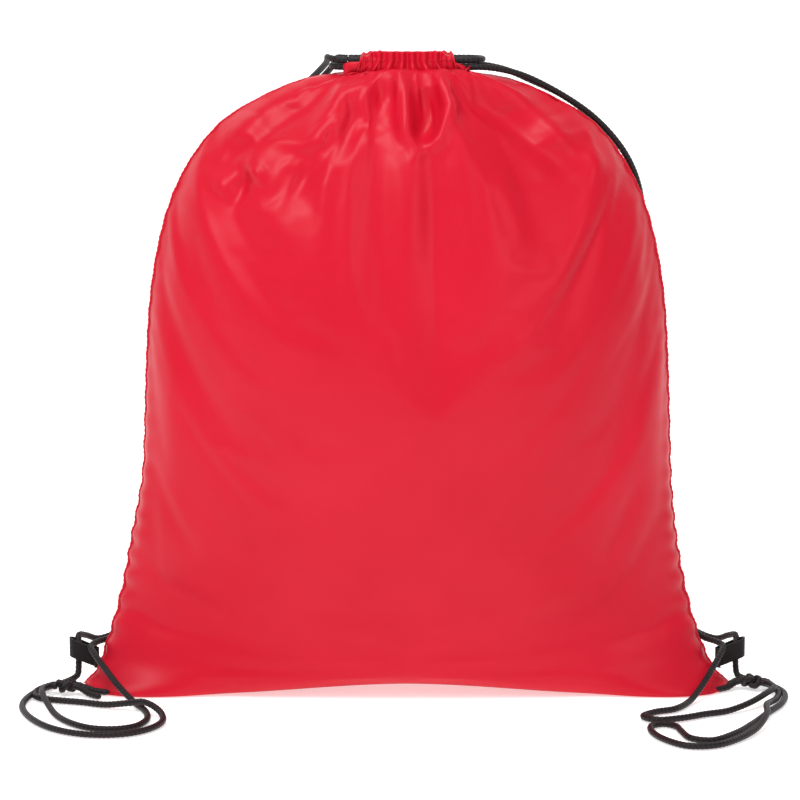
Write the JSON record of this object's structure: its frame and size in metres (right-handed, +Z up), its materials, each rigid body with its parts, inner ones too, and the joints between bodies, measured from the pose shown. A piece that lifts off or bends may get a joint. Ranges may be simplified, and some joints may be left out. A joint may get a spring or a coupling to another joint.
{
  "type": "drawstring backpack",
  "caption": "Drawstring backpack standing softly stuffed, mouth drawn closed on braided cords that run down the back as straps to webbing tabs at the bottom corners.",
  "frame": {"origin": "middle of the base, on the floor", "axes": "+Z up from the base to the gathered mouth, -Y out of the front panel, +X to the right as seen from the front"},
  "size_m": [0.4463, 0.2152, 0.3733],
  "materials": {
    "red_polyester_cloth": "coated plain weave, satin",
    "red_thread": "lockstitch thread",
    "black_webbing": "ribbed woven webbing, matte",
    "black_thread": "bar-tack thread",
    "black_braided_cord": "round braid, matte"
  },
  "bodies": {
    "bag": {"front_panel": "red_polyester_cloth", "back_panel": "red_polyester_cloth", "bottom_fold": "red_polyester_cloth", "left_side_seam": "red_polyester_cloth", "right_side_seam": "red_polyester_cloth", "front_channel": "red_polyester_cloth", "back_channel": "red_polyester_cloth", "front_channel_stitching": "red_thread", "back_channel_stitching": "red_thread", "left_webbing_tab": "black_webbing", "right_webbing_tab": "black_webbing", "left_tab_bartack": "black_thread", "right_tab_bartack": "black_thread", "left_strap_over_corner": "black_braided_cord", "left_strap_through_tab": "black_braided_cord", "right_strap_over_corner": "black_braided_cord", "right_strap_through_tab": "black_braided_cord", "left_knot": "black_braided_cord", "right_knot": "black_braided_cord", "left_knot_front_tail": "black_braided_cord", "left_knot_back_tail": "black_braided_cord", "right_knot_front_tail": "black_braided_cord", "right_knot_back_tail": "black_braided_cord"},
    "left_drawcord": {"left_drawcord_run": "black_braided_cord"},
    "right_drawcord": {"right_drawcord_run": "black_braided_cord"}
  },
  "joints": [
    {"name": "left_drawcord_slide", "type": "slide", "parent": "bag", "child": "left_drawcord", "axis": [1, 0, 0], "range_m": [-0.004, 0.02], "deforming": ["left_strap_over_corner", "left_strap_through_tab"]},
    {"name": "right_drawcord_slide", "type": "slide", "parent": "bag", "child": "right_drawcord", "axis": [-1, 0, 0], "range_m": [-0.004, 0.02], "deforming": ["right_strap_over_corner", "right_strap_through_tab"]}
  ]
}
